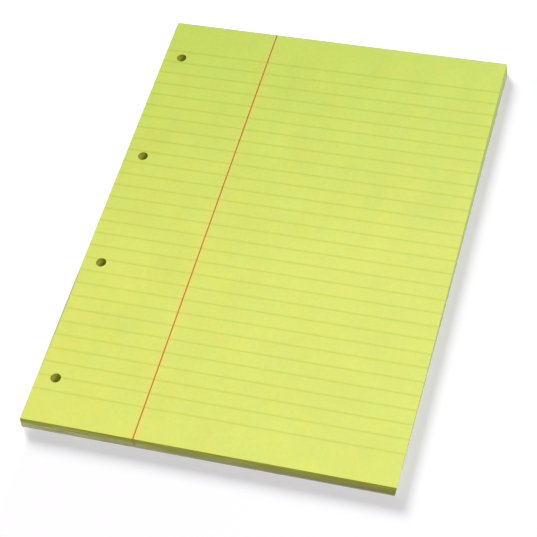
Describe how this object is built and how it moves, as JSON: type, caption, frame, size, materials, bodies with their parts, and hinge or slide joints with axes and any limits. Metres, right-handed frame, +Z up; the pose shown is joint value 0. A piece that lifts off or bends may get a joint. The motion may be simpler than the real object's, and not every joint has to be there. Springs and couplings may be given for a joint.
{
  "type": "legal pad",
  "caption": "Flat block of ruled yellow sheets with a red margin rule, gummed along the head to a grey backing board and punched down the left edge for a ring binder.",
  "frame": {"origin": "middle of the underside of the pad, on the surface that it lies on", "axes": "+X along the rules, from the punched left edge to the right, +Y from the foot to the gummed head, +Z up out of the top sheet"},
  "size_m": [0.21, 0.2974, 0.0091],
  "materials": {
    "yellow_paper": "uncoated, matte",
    "grey_board": "uncoated recycled fibre, matte",
    "padding_gum": "brushed film, slightly glossy",
    "feint_ink": "printed ink, matte",
    "margin_ink": "printed ink, matte"
  },
  "bodies": {
    "root": {"sheet_block": "yellow_paper", "backing_board": "grey_board", "head_gum": "padding_gum", "feint_rules": "feint_ink", "margin_rule": "margin_ink"}
  },
  "joints": []
}
